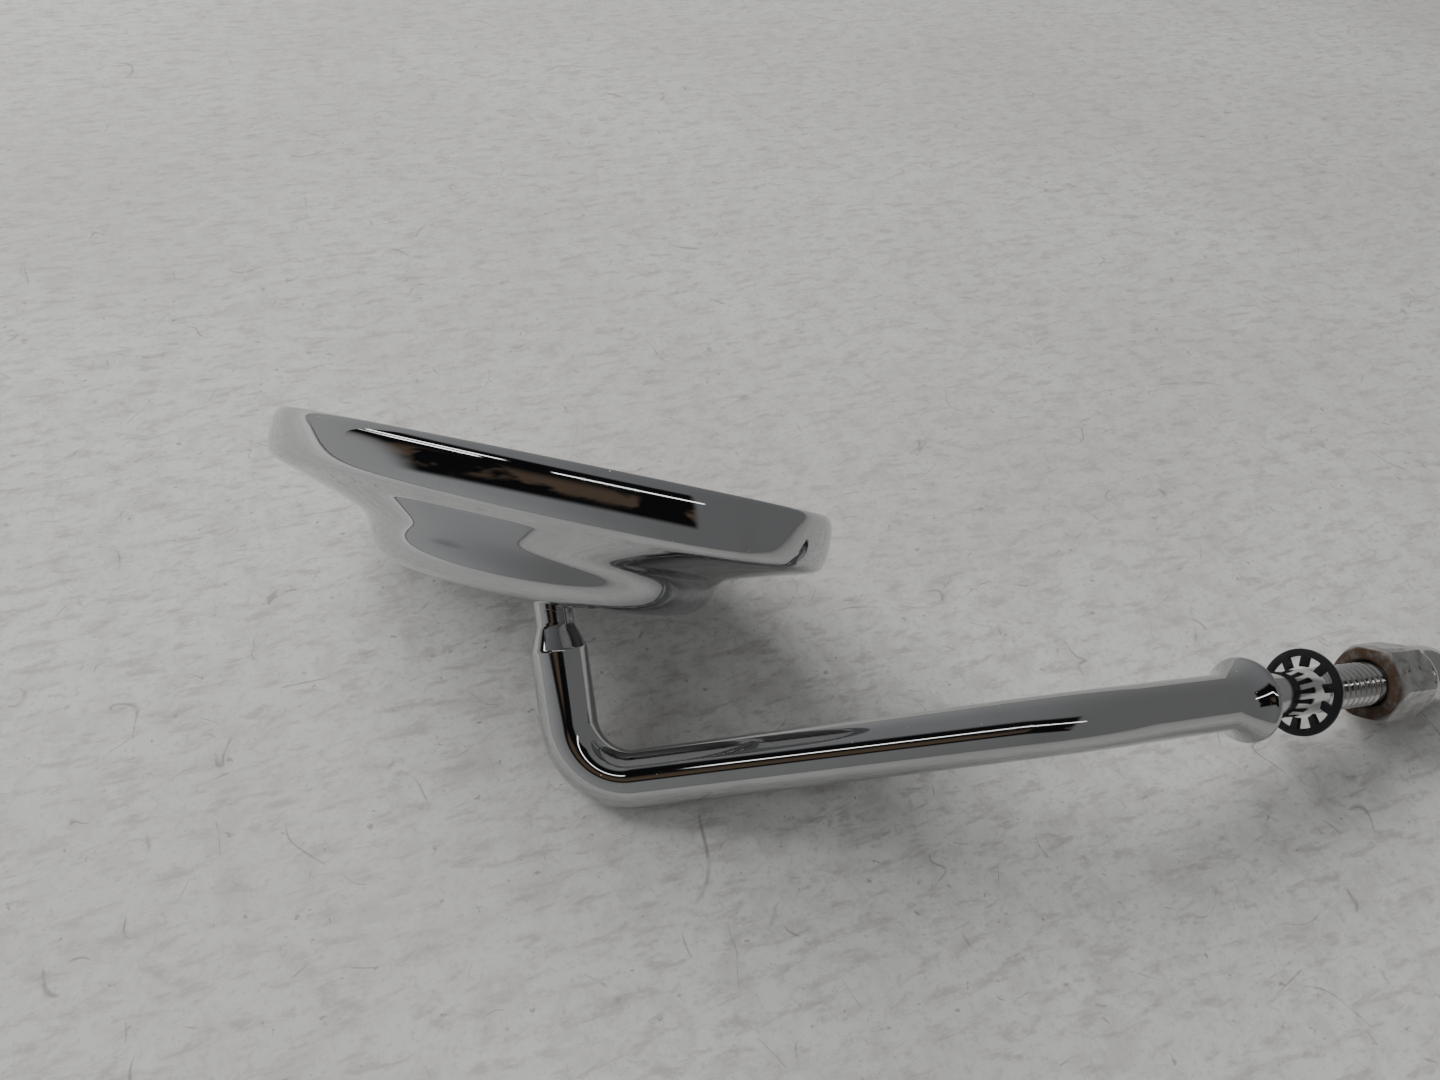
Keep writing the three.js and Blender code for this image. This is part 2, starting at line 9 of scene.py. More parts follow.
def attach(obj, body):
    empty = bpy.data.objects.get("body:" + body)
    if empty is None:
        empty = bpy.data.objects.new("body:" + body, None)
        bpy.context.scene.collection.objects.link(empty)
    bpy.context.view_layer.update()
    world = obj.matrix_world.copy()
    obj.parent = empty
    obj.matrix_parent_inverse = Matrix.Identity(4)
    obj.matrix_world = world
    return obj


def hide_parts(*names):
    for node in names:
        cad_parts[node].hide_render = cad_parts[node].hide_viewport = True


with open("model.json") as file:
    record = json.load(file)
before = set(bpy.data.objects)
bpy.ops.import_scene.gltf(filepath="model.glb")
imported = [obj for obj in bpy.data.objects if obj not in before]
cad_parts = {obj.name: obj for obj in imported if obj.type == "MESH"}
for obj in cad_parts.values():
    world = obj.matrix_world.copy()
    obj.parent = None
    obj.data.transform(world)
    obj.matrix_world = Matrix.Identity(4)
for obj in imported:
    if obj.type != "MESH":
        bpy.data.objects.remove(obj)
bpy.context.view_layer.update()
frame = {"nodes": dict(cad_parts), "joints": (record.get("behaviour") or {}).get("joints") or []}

MM = 0.001

# ---- Sizes in millimetres and degrees

ROD = 9.525 / 2
COLLAR = 7.2
COLLAR_RIM = 1.2
COLLAR_FLARE = 5.6
SEAT_TO_BEND = 25.7
BEND = 32.5
BEND_RADIUS = 33.3
MIDDLE = 61.8
ELBOW = 90
ELBOW_RADIUS = 10.4
ELBOW_TWIST = math.radians(-8.9)
POST = 12.75
NECK = 3.2
NECK_TO_BALL = 10.4
BALL = 5.5
BALL_TOP = 150
BEND_AXIS = Vector((0, 0, -1))
ELBOW_AXIS = Vector((0, -math.cos(ELBOW_TWIST), -math.sin(ELBOW_TWIST)))

STUD = 3.97
THREAD_DEPTH = 0.8
PITCH = 1.411
SHANK = 16.4
STUD_END = 36.9
NUT_AT = 30.5
NUT_LENGTH = 10.0
NUT_FLAT = 6.35
NUT_CHAMFER = 1.3
NUT_TURN = 20
CAP_AT = NUT_AT + NUT_LENGTH + 0.3
CAP = 6.15
CAP_LENGTH = 11.8
CAP_SHOULDER = 4.2
WASHER_AT = 13.6
WASHER = 7.6
WASHER_THICKNESS = 0.75
WASHER_TEETH = 10
WASHER_LEAN = 9.8
WASHER_LEAN_FACING = 7

# Outlines of the head, heights along its own axis from the ball's centre
RIM = {"length": 54.5, "width": 34.6, "square": 2.05, "taper": -0.04, "x": -7.6, "y": 2.7}
DOME = {"length": 28.6, "width": 29.2, "square": 2.0, "taper": 0.0, "x": 0.0, "y": 0.0}
DOME_DEPTH = 5.6
DOME_CROWN = 2.2
DOME_CORNER = 4.7
DOME_WALL_FOOT = -DOME_DEPTH + DOME_CROWN + DOME_CORNER
RIM_BOTTOM = 8.2
RIM_TOP = 17.3
WALL = 1.8
NECK_HOLE = 6.9
SOCKET = 6.93
SOCKET_FOOT = 10.7
LEDGE = 12.1
HEAD_TURN = -14.6
GLASS_INSET = 3.8
GLASS_BACK = 14.1
GLASS_EDGE = 15.81
GLASS_CROWN = 1.3
GASKET_BOTTOM = 13.45
GASKET_TOP = 16.5


# ---- Camera

CAMERA_AT = Vector((-72.67, -110.66, 153.29)) * MM
CAMERA_RIGHT = Vector((0.946263, -0.318826, 0.054186))
CAMERA_FORWARD = Vector((0.254710, 0.631539, -0.732313))


def place_camera():
    data = bpy.data.cameras.new("camera")
    data.sensor_width = 36
    data.lens = 24.95
    data.clip_start = 0.01
    data.clip_end = 20
    camera = bpy.data.objects.new("camera", data)
    up = CAMERA_RIGHT.cross(CAMERA_FORWARD)
    turn = Matrix((CAMERA_RIGHT, up, -CAMERA_FORWARD)).transposed().to_4x4()
    camera.matrix_world = Matrix.Translation(CAMERA_AT) @ turn
    bpy.context.collection.objects.link(camera)
    bpy.context.scene.camera = camera


place_camera()


# ---- Where the stem and the head stand, from the joints that hold them

def joint_axis(name):
    return Vector(joints[name]["axis"]).normalized()


def facing_axes(first, second):
    """Columns: the first direction, one at right angles towards the second, and their normal."""
    normal = first.cross(second).normalized()
    return Matrix((first, normal.cross(first), normal)).transposed()


def find_stem_place():
    """The seat at its origin and the stud along X, turned to where the nut's and the head's joints point."""
    bent = Matrix.Rotation(math.pi, 3, "Z") @ Matrix.Rotation(math.radians(BEND), 3, BEND_AXIS)
    post = bent @ Matrix.Rotation(math.radians(ELBOW), 3, ELBOW_AXIS) @ Vector((1, 0, 0))
    stud = joint_axis("nut_turn")
    turn = facing_axes(stud, joint_axis("head_spin")) @ facing_axes(Vector((1, 0, 0)), post).transposed()
    seat = Vector(joints["nut_turn"]["pos_m"]) - stud * WASHER_AT * MM
    return Matrix.Translation(seat) @ turn.to_4x4()


def find_head_place():
    """The ball's centre at its origin and Z out through the glass."""
    tilt = joint_axis("head_tilt")
    swing = joint_axis("head_swing")
    turn = Matrix((-swing, tilt, tilt.cross(swing))).transposed().to_4x4()
    ball = Matrix.Translation(Vector(joints["head_swing"]["pos_m"]))
    return ball @ turn @ Matrix.Rotation(math.radians(HEAD_TURN), 4, "Z")


joints = {joint["name"]: joint for joint in frame["joints"]}
STEM_PLACE = find_stem_place()
HEAD_PLACE = find_head_place()


# ---- Shader helpers

def new_group(name, inputs, outputs):
    """An empty node group with named sockets: (name, type, default) going in, (name, type) out."""
    group = bpy.data.node_groups.new(name, "ShaderNodeTree")
    for label, kind, default in inputs:
        socket = group.interface.new_socket(label, in_out="INPUT", socket_type=kind)
        if default is not None:
            socket.default_value = default
    for label, kind in outputs:
        group.interface.new_socket(label, in_out="OUTPUT", socket_type=kind)
    return group


class Nodes:
    """Short calls for adding nodes to a tree and joining them."""

    def __init__(self, tree):
        self.tree = tree

    def add(self, kind, **settings):
        node = self.tree.nodes.new(kind)
        for key, value in settings.items():
            setattr(node, key, value)
        return node

    def feed(self, socket, value):
        if isinstance(value, bpy.types.NodeSocket):
            self.tree.links.new(value, socket)
        elif value is not None:
            socket.default_value = value

    def math(self, operation, a, b=None, c=None):
        node = self.add("ShaderNodeMath", operation=operation)
        for socket, value in zip(node.inputs, (a, b, c)):
            self.feed(socket, value)
        return node.outputs[0]

    def span(self, value, low, high, to_low=0.0, to_high=1.0):
        """Maps low..high of a value smoothly to to_low..to_high."""
        node = self.add("ShaderNodeMapRange", interpolation_type="SMOOTHSTEP")
        for key, given in zip(range(5), (value, low, high, to_low, to_high)):
            self.feed(node.inputs[key], given)
        return node.outputs[0]

    def noise(self, where, scale, detail=3.0, rough=0.5, warp=0.0):
        node = self.add("ShaderNodeTexNoise")
        self.feed(node.inputs["Vector"], where)
        node.inputs["Scale"].default_value = scale
        node.inputs["Detail"].default_value = detail
        node.inputs["Roughness"].default_value = rough
        node.inputs["Distortion"].default_value = warp
        return node.outputs["Fac"]

    def mix(self, share, a, b):
        node = self.add("ShaderNodeMix", data_type="RGBA")
        self.feed(node.inputs[0], share)
        self.feed(node.inputs[6], a)
        self.feed(node.inputs[7], b)
        return node.outputs[2]

    def mapped(self, place=None, stretch=(1, 1, 1)):
        """Object coordinates, seen from a piece's own frame."""
        where = self.add("ShaderNodeTexCoord").outputs["Object"]
        if place is None and stretch == (1, 1, 1):
            return where
        back = (place or Matrix.Identity(4)).inverted()
        turned = self.add("ShaderNodeMapping")
        turned.inputs["Location"].default_value = back.to_translation()
        turned.inputs["Rotation"].default_value = back.to_euler()
        self.feed(turned.inputs["Vector"], where)
        if stretch == (1, 1, 1):
            return turned.outputs[0]
        scaled = self.add("ShaderNodeMapping")
        scaled.inputs["Scale"].default_value = stretch
        self.feed(scaled.inputs["Vector"], turned.outputs[0])
        return scaled.outputs[0]


def build_handling_marks():
    """Smudges, dust specks and hairline scratches, as masks from 0 to 1."""
    group = new_group(
        "handling_marks",
        [("Coordinates", "NodeSocketVector", None), ("Specks", "NodeSocketFloat", 0.2)],
        [("Smudge", "NodeSocketFloat"), ("Dust", "NodeSocketFloat"), ("Hairline", "NodeSocketFloat")],
    )
    n = Nodes(group)
    given = n.add("NodeGroupInput")
    result = n.add("NodeGroupOutput")
    where = given.outputs["Coordinates"]

    broad = n.noise(where, 55, 4, 0.6, 0.6)
    streaky = n.span(n.noise(where, 420, 3, 0.7), 0.25, 0.7, 0.35, 1.0)
    smudge = n.math("MULTIPLY", n.span(broad, 0.48, 0.68), streaky)
    n.feed(result.inputs["Smudge"], smudge)

    cells = n.add("ShaderNodeTexVoronoi", feature="F1")
    n.feed(cells.inputs["Vector"], where)
    cells.inputs["Scale"].default_value = 780
    pick = n.add("ShaderNodeSeparateColor")
    n.feed(pick.inputs[0], cells.outputs["Color"])
    chosen = n.math("LESS_THAN", pick.outputs[0], given.outputs["Specks"])
    size = n.math("MULTIPLY", pick.outputs[1], 0.12)
    spot = n.math("LESS_THAN", cells.outputs["Distance"], size)
    n.feed(result.inputs["Dust"], n.math("MULTIPLY", chosen, spot))

    bend = n.noise(where, 36, 1.5, 0.4, 1.2)
    offset = n.math("ABSOLUTE", n.math("SUBTRACT", bend, 0.5))
    line = n.span(offset, 0.0, 0.0012, 1.0, 0.0)
    broken = n.span(n.noise(where, 90, 2), 0.55, 0.62)
    n.feed(result.inputs["Hairline"], n.math("MULTIPLY", line, broken))
    return group


def build_grime():
    """Dark blotches, as a mask, for metal that was handled and stored."""
    group = new_group(
        "grime",
        [("Coordinates", "NodeSocketVector", None), ("Size", "NodeSocketFloat", 1.0)],
        [("Blotch", "NodeSocketFloat"), ("Grain", "NodeSocketFloat"), ("Pits", "NodeSocketFloat")],
    )
    n = Nodes(group)
    given = n.add("NodeGroupInput")
    result = n.add("NodeGroupOutput")
    scaled = n.add("ShaderNodeVectorMath", operation="SCALE")
    n.feed(scaled.inputs[0], given.outputs["Coordinates"])
    n.feed(scaled.inputs["Scale"], given.outputs["Size"])
    where = scaled.outputs[0]
    n.feed(result.inputs["Blotch"], n.span(n.noise(where, 380, 5, 0.65, 0.4), 0.42, 0.66))
    n.feed(result.inputs["Grain"], n.noise(where, 2600, 4, 0.7))
    n.feed(result.inputs["Pits"], n.span(n.noise(where, 1500, 2, 0.5), 0.66, 0.74))
    return group


handling_marks = build_handling_marks()
grime = build_grime()


def start_material(name):
    material = bpy.data.materials.new(name)
    material.use_nodes = True
    tree = material.node_tree
    return material, Nodes(tree), tree.nodes["Principled BSDF"]


def add_group(n, group, where, **values):
    node = n.add("ShaderNodeGroup", node_tree=group)
    n.feed(node.inputs["Coordinates"], where)
    for key, value in values.items():
        node.inputs[key].default_value = value
    return node.outputs


def add_bump(n, shader, height, distance, strength=1.0):
    bump = n.add("ShaderNodeBump")
    bump.inputs["Strength"].default_value = strength
    bump.inputs["Distance"].default_value = distance
    n.feed(bump.inputs["Height"], height)
    n.feed(shader.inputs["Normal"], bump.outputs[0])


def make_chrome(name, place, tint, polish, specks, wave):
    """Bright plating: a smudged mirror with dust and hairlines, and the slight wave of a polished part."""
    material, n, shader = start_material(name)
    where = n.mapped(place)
    marks = add_group(n, handling_marks, where, Specks=specks)
    clean = n.mix(marks["Smudge"], (*tint, 1), (*[c * 0.93 for c in tint], 1))
    n.feed(shader.inputs["Base Color"], n.mix(marks["Dust"], clean, (0.42, 0.41, 0.39, 1)))
    n.feed(shader.inputs["Metallic"], n.math("SUBTRACT", 1.0, n.math("MULTIPLY", marks["Dust"], 0.8)))
    film = n.math("MULTIPLY_ADD", marks["Smudge"], 0.075, polish)
    lines = n.math("MULTIPLY_ADD", marks["Hairline"], 0.22, film)
    n.feed(shader.inputs["Roughness"], n.math("MULTIPLY_ADD", marks["Dust"], 0.6, lines))
    ripple = n.math("MULTIPLY", n.noise(where, 75, 1.0, 0.4), wave)
    add_bump(n, shader, n.math("SUBTRACT", ripple, n.math("MULTIPLY", marks["Hairline"], 0.02)), 0.0002)
    return material


def make_thread_plating():
    """Plated thread: bright on its crests, dull and dark in its roots; the darkening in the roots is partly
    grime and partly painted shade of the thread's hollows.
    """
    material, n, shader = start_material("stud_plating")
    where = n.mapped(STEM_PLACE)
    parts = n.add("ShaderNodeSeparateXYZ")
    n.feed(parts.inputs[0], where)
    across = n.math("POWER", parts.outputs[1], 2.0)
    radius = n.math("SQRT", n.math("ADD", across, n.math("POWER", parts.outputs[2], 2.0)))
    # Painted shade, partly grime: the roots are darkened to brown by radius alone, where the thread's
    # hollows would be shaded.
    low = n.span(radius, (STUD - 0.65) * MM, (STUD - 0.15) * MM, 1.0, 0.0)
    dirt = add_group(n, grime, where)
    marks = add_group(n, handling_marks, where, Specks=0.25)
    root = n.math("MULTIPLY", low, n.span(dirt["Blotch"], 0.0, 1.0, 0.45, 1.0))
    bright = n.mix(marks["Smudge"], (0.62, 0.62, 0.62, 1), (0.52, 0.52, 0.51, 1))
    n.feed(shader.inputs["Base Color"], n.mix(root, bright, (0.17, 0.145, 0.12, 1)))
    n.feed(shader.inputs["Metallic"], n.math("SUBTRACT", 1.0, n.math("MULTIPLY", root, 0.35)))
    worn = n.math("MULTIPLY_ADD", marks["Smudge"], 0.12, 0.09)
    n.feed(shader.inputs["Roughness"], n.math("MULTIPLY_ADD", root, 0.35, worn))
    add_bump(n, shader, dirt["Grain"], 0.00001, 0.3)
    return material


def make_worn_zinc():
    """Dull zinc plate: pale and scuffed on the flats, brown and dark on the end that looks at the stem."""
    material, n, shader = start_material("nut_zinc")
    where = n.mapped(STEM_PLACE)
    dirt = add_group(n, grime, where, Size=0.8)
    parts = n.add("ShaderNodeSeparateXYZ")
    n.feed(parts.inputs[0], where)
    end = n.span(parts.outputs[0], NUT_AT * MM, (NUT_AT + 1.5) * MM, 1.0, 0.0)
    patchy = n.span(n.noise(where, 520, 4, 0.7), 0.3, 0.62)
    rust = n.math("MULTIPLY", end, n.span(patchy, 0.0, 1.0, 0.85, 1.0))
    pale = n.mix(dirt["Blotch"], (0.55, 0.55, 0.54, 1), (0.36, 0.355, 0.345, 1))
    pitted = n.mix(dirt["Pits"], pale, (0.12, 0.10, 0.08, 1))
    brown = n.mix(patchy, (0.022, 0.012, 0.008, 1), (0.06, 0.036, 0.024, 1))
    n.feed(shader.inputs["Base Color"], n.mix(rust, pitted, brown))
    n.feed(shader.inputs["Metallic"], n.math("SUBTRACT", 0.92, n.math("MULTIPLY", rust, 0.85)))
    dull = n.math("MULTIPLY_ADD", dirt["Blotch"], 0.16, 0.33)
    n.feed(shader.inputs["Roughness"], n.math("MULTIPLY_ADD", rust, 0.2, dull))
    n.feed(shader.inputs["Specular IOR Level"], n.math("SUBTRACT", 0.5, n.math("MULTIPLY", rust, 0.35)))
    height = n.math("SUBTRACT", dirt["Grain"], n.math("MULTIPLY", dirt["Pits"], 2.0))
    add_bump(n, shader, height, 0.00003, 0.6)
    return material


def make_black_oxide():
    """Blackened spring steel, oily, with brighter scuffs."""
    material, n, shader = start_material("washer_oxide")
    where = n.mapped(STEM_PLACE)
    dirt = add_group(n, grime, where, Size=1.2)
    scuff = n.math("MULTIPLY", dirt["Pits"], 0.5)
    n.feed(shader.inputs["Base Color"], n.mix(scuff, (0.018, 0.019, 0.021, 1), (0.12, 0.12, 0.12, 1)))
    shader.inputs["Metallic"].default_value = 0.6
    n.feed(shader.inputs["Roughness"], n.math("MULTIPLY_ADD", dirt["Blotch"], 0.18, 0.3))
    add_bump(n, shader, dirt["Grain"], 0.00002, 0.5)
    return material


def make_plain(name, low, high, roughness, metallic, grain=0.00002, size=1.0):
    """Grainy metal, rubber, board or plastic between two close colours."""
    material, n, shader = start_material(name)
    where = n.mapped(HEAD_PLACE)
    dirt = add_group(n, grime, where, Size=size)
    n.feed(shader.inputs["Base Color"], n.mix(dirt["Blotch"], (*low, 1), (*high, 1)))
    shader.inputs["Metallic"].default_value = metallic
    n.feed(shader.inputs["Roughness"], n.math("MULTIPLY_ADD", dirt["Blotch"], 0.12, roughness))
    add_bump(n, shader, dirt["Grain"], grain, 0.5)
    return material


def make_silvered_glass():
    """Clear glass over silvering, read as a clean mirror under a hard coat, with dust and wiping smears."""
    material, n, shader = start_material("silvered_glass")
    where = n.mapped(HEAD_PLACE)
    marks = add_group(n, handling_marks, where, Specks=0.12)
    silver = n.mix(marks["Smudge"], (0.80, 0.84, 0.85, 1), (0.76, 0.79, 0.80, 1))
    n.feed(shader.inputs["Base Color"], n.mix(marks["Dust"], silver, (0.5, 0.49, 0.47, 1)))
    n.feed(shader.inputs["Metallic"], n.math("SUBTRACT", 1.0, n.math("MULTIPLY", marks["Dust"], 0.7)))
    film = n.math("MULTIPLY_ADD", marks["Smudge"], 0.05, 0.012)
    n.feed(shader.inputs["Roughness"], n.math("MULTIPLY_ADD", marks["Dust"], 0.5, film))
    shader.inputs["Coat Weight"].default_value = 0.6
    shader.inputs["Coat Roughness"].default_value = 0.01
    return material


stem_chrome = make_chrome("stem_chrome", STEM_PLACE, (0.485, 0.49, 0.495), 0.03, 0.16, 0.012)
shell_chrome = make_chrome("shell_chrome", HEAD_PLACE, (0.485, 0.49, 0.50), 0.025, 0.2, 0.02)
cap_nickel = make_chrome("cap_nickel", STEM_PLACE, (0.56, 0.555, 0.545), 0.085, 0.2, 0.03)
stud_plating = make_thread_plating()
nut_zinc = make_worn_zinc()
washer_oxide = make_black_oxide()
spring_steel = make_plain("spring_steel", (0.30, 0.31, 0.33), (0.42, 0.42, 0.43), 0.32, 1.0)
screw_steel = make_plain("screw_steel", (0.42, 0.42, 0.42), (0.52, 0.51, 0.49), 0.3, 1.0)
liner_nylon = make_plain("liner_nylon", (0.025, 0.025, 0.028), (0.04, 0.04, 0.043), 0.45, 0.0)
backing_board = make_plain("backing_board", (0.04, 0.038, 0.036), (0.06, 0.057, 0.053), 0.75, 0.0, 0.00005)
pad_foam = make_plain("pad_foam", (0.03, 0.03, 0.03), (0.05, 0.05, 0.05), 0.85, 0.0, 0.0001, 0.6)
gasket_rubber = make_plain("gasket_rubber", (0.014, 0.014, 0.015), (0.026, 0.026, 0.026), 0.55, 0.0, 0.00003)
silvered_glass = make_silvered_glass()


# ---- Shape helpers

def new_verts(made):
    return [item for item in made if isinstance(item, bmesh.types.BMVert)]


def loop_edges(bm, verts):
    ring = set(verts)
    return [edge for edge in bm.edges if edge.verts[0] in ring and edge.verts[1] in ring]


def extrude_ring(bm, edges):
    """Extrudes a row of edges and gives the new row's vertices and edges."""
    grown = bmesh.ops.extrude_edge_only(bm, edges=edges)["geom"]
    verts = new_verts(grown)
    return verts, loop_edges(bm, verts)


class Sweep:
    """A ring drawn along a path: it is extruded forwards, bent round corners and resized on the way.
    The path's own frame has X along the travel."""

    def __init__(self, sides, radius, frame_at):
        self.bm = bmesh.new()
        self.radius = radius
        self.frame = frame_at.copy()
        upright = Matrix.Rotation(math.pi / 2, 4, "Y")
        made = bmesh.ops.create_circle(self.bm, cap_ends=False, radius=radius, segments=sides)
        self.verts = made["verts"]
        bmesh.ops.transform(self.bm, matrix=self.frame @ upright, verts=self.verts)
        self.edges = loop_edges(self.bm, self.verts)

    def push(self, step, radius=None):
        """Extrudes the ring and carries the new one on by a step, a matrix in the path's own frame."""
        radius = radius or self.radius
        self.verts, self.edges = extrude_ring(self.bm, self.edges)
        resize = Matrix.Diagonal((1, radius / self.radius, radius / self.radius, 1))
        move = self.frame @ step @ resize @ self.frame.inverted()
        bmesh.ops.transform(self.bm, matrix=move, verts=self.verts)
        self.frame = self.frame @ step
        self.radius = radius

    def run(self, distance, radius=None):
        self.push(Matrix.Translation((distance, 0, 0)), radius)

    def rings(self, points):
        """Each point is (distance on, radius)."""
        for distance, radius in points:
            self.run(distance, radius)

    def bend(self, axis, degrees, bend_radius, steps):
        half = Matrix.Rotation(math.radians(degrees) / steps / 2, 4, axis)
        chord = 2 * bend_radius * math.sin(math.radians(degrees) / steps / 2)
        for _ in range(steps):
            self.push(half @ Matrix.Translation((chord, 0, 0)) @ half)

    def close(self):
        bmesh.ops.contextual_create(self.bm, geom=self.edges)


def finish_piece(name, bm, place, material, body, levels=0):
    """Turns a mesh in millimetres into a smooth piece in its place, riding on a body."""
    bmesh.ops.remove_doubles(bm, verts=bm.verts, dist=0.0005)
    bmesh.ops.recalc_face_normals(bm, faces=bm.faces)
    bmesh.ops.transform(bm, matrix=place @ Matrix.Diagonal((MM, MM, MM, 1)), verts=bm.verts)
    for face in bm.faces:
        face.smooth = True
    mesh = bpy.data.meshes.new(name)
    bm.to_mesh(mesh)
    bm.free()
    mesh.materials.append(material)
    piece = bpy.data.objects.new(name, mesh)
    bpy.context.collection.objects.link(piece)
    if levels:
        finer = piece.modifiers.new("finer", "SUBSURF")
        finer.levels = finer.render_levels = levels
    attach(piece, body)
    return piece


# ---- Stem: collar, rod, bends, turned neck and ball

def make_stem_rod():
    backwards = Matrix.Rotation(math.pi, 4, "Z")
    sweep = Sweep(56, STUD + 0.02, backwards)
    sweep.rings([(0, COLLAR - 0.75), (0, COLLAR - 0.55), (0.06, COLLAR - 0.3)])
    sweep.rings([(0.14, COLLAR - 0.09), (0.22, COLLAR), (0.55, COLLAR), (0.2, COLLAR - 0.05)])
    flare_steps = 14
    for i in range(1, flare_steps + 1):
        share = i / flare_steps
        sweep.run(COLLAR_FLARE / flare_steps, ROD + (COLLAR - 0.05 - ROD) * (1 - share) ** 2.1)
    sweep.run(SEAT_TO_BEND - COLLAR_RIM - COLLAR_FLARE)
    sweep.bend(BEND_AXIS, BEND, BEND_RADIUS, 22)
    for _ in range(10):
        sweep.run(MIDDLE / 10)
    sweep.bend(ELBOW_AXIS, ELBOW, ELBOW_RADIUS, 36)
    sweep.run(POST - 0.45)
    sweep.rings([(0.25, ROD - 0.01), (0.2, ROD - 0.1)])
    sweep.rings([(3.4, NECK + 0.16), (0.35, NECK + 0.02), (0.2, NECK)])
    neck_steps = 22
    ball_foot = math.sqrt(BALL ** 2 - NECK ** 2)
    neck_length = NECK_TO_BALL - ball_foot
    for i in range(neck_steps):
        groove = 0.035 if i % 2 else 0.0
        sweep.run(neck_length / neck_steps, NECK - groove)
    along = -ball_foot
    first = math.asin(NECK / BALL)
    for i in range(1, 13):
        angle = first + (math.radians(BALL_TOP) - first) * i / 12
        sweep.run(-BALL * math.cos(angle) - along, BALL * math.sin(angle))
        along = -BALL * math.cos(angle)
    sweep.close()
    rod = finish_piece("stem_rod", sweep.bm, STEM_PLACE, stem_chrome, "stem")
    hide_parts("stem")
    return rod


def make_threaded_stud():
    """The shank, and a helical thread that runs out into it and is chamfered at its tip."""
    sweep = Sweep(48, STUD - 0.012, Matrix.Translation((-0.4, 0, 0)))
    sweep.rings([(SHANK - 0.2, STUD - 0.012), (0.6, STUD - 0.3)])
    sweep.close()
    bm = sweep.bm
    per_turn = 40
    turns = int((STUD_END - SHANK) / PITCH) + 1
    root = STUD - THREAD_DEPTH
    start = SHANK - PITCH
    tooth = [(0.0, root), (0.1, root), (0.42, STUD), (0.58, STUD), (0.9, root), (1.0, root)]
    corners = [bm.verts.new((start + share * PITCH, radius, 0)) for share, radius in tooth]
    edges = [bm.edges.new(pair) for pair in zip(corners, corners[1:])]
    before = set(bm.verts) - set(corners)
    bmesh.ops.spin(
        bm, geom=corners + edges, cent=(0, 0, 0), axis=(1, 0, 0), dvec=(PITCH / per_turn, 0, 0),
        angle=2 * math.pi * turns, steps=per_turn * turns, space=Matrix.Identity(4),
        use_merge=False, use_duplicate=False,
    )
    for vert in set(bm.verts) - before:
        radius = math.hypot(vert.co.y, vert.co.z)
        fade = min(max((SHANK + 1.5 * PITCH - vert.co.x) / (1.5 * PITCH), 0), 1) ** 1.5
        wanted = radius + (STUD - radius) * fade
        tip = STUD - 0.9 + max(STUD_END - vert.co.x, 0) * 0.9
        wanted = min(wanted, max(tip, root - 0.5))
        vert.co.y *= wanted / radius
        vert.co.z *= wanted / radius
        vert.co.x = min(vert.co.x, STUD_END)
    end = Sweep(per_turn, root - 0.3, Matrix.Translation((STUD_END - 1.5, 0, 0)))
    end.rings([(1.4, root - 0.3), (0.08, root - 0.6)])
    end.close()
    join(bm, end.bm)
    return finish_piece("threaded_stud", bm, STEM_PLACE, stud_plating, "stem")


def join(bm, other):
    """Adds another mesh to this one."""
    carried = bpy.data.meshes.new("carried")
    other.to_mesh(carried)
    other.free()
    bm.from_mesh(carried)
    bpy.data.meshes.remove(carried)


# ---- Nut, cap and washer

def turn_profile(points, steps):
    """A closed or open profile of (along X, radius), spun all the way round X."""
    bm = bmesh.new()
    verts = [bm.verts.new((x, r, 0)) for x, r in points]
    edges = [bm.edges.new(pair) for pair in zip(verts, verts[1:])]
    bmesh.ops.spin(
        bm, geom=verts + edges, cent=(0, 0, 0), axis=(1, 0, 0), dvec=(0, 0, 0),
        angle=2 * math.pi, steps=steps, space=Matrix.Identity(4), use_merge=True, use_duplicate=False,
    )
    bmesh.ops.remove_doubles(bm, verts=bm.verts, dist=0.0005)
    return bm


def sharp_edges(bm, degrees):
    limit = math.radians(degrees)
    return [edge for edge in bm.edges if len(edge.link_faces) == 2 and edge.calc_face_angle() > limit]


def make_hexagon():
    """A turned blank with chamfered ends, cut back by six flats."""
    bore = STUD + 0.3
    corner = NUT_FLAT / math.cos(math.pi / 6)
    end = NUT_AT + NUT_LENGTH
    blank = [
        (NUT_AT, bore + 0.35), (NUT_AT, NUT_FLAT - 0.05), (NUT_AT + NUT_CHAMFER, corner + 0.05),
        (end - NUT_CHAMFER, corner + 0.05), (end, NUT_FLAT - 0.05), (end, bore + 0.35),
        (end - 0.35, bore), (NUT_AT + 0.35, bore), (NUT_AT, bore + 0.35),
    ]
    bm = turn_profile(blank, 96)
    for k in range(6):
        facing = math.radians(30 + 60 * k + NUT_TURN)
        outward = Vector((0, math.cos(facing), math.sin(facing)))
        whole = bm.verts[:] + bm.edges[:] + bm.faces[:]
        cut = bmesh.ops.bisect_plane(
            bm, geom=whole, plane_co=outward * NUT_FLAT, plane_no=outward, clear_outer=True,
        )["geom_cut"]
        rim = [item for item in cut if isinstance(item, bmesh.types.BMEdge)]
        bmesh.ops.contextual_create(bm, geom=rim)
    bmesh.ops.recalc_face_normals(bm, faces=bm.faces)
    bmesh.ops.bevel(
        bm, geom=sharp_edges(bm, 22), offset=0.16, offset_type="OFFSET", segments=2, profile=0.5,
        affect="EDGES", material=-1, clamp_overlap=True,
    )
    nut = finish_piece("hexagon", bm, STEM_PLACE, nut_zinc, "nut")
    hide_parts("nut_body")
    return nut


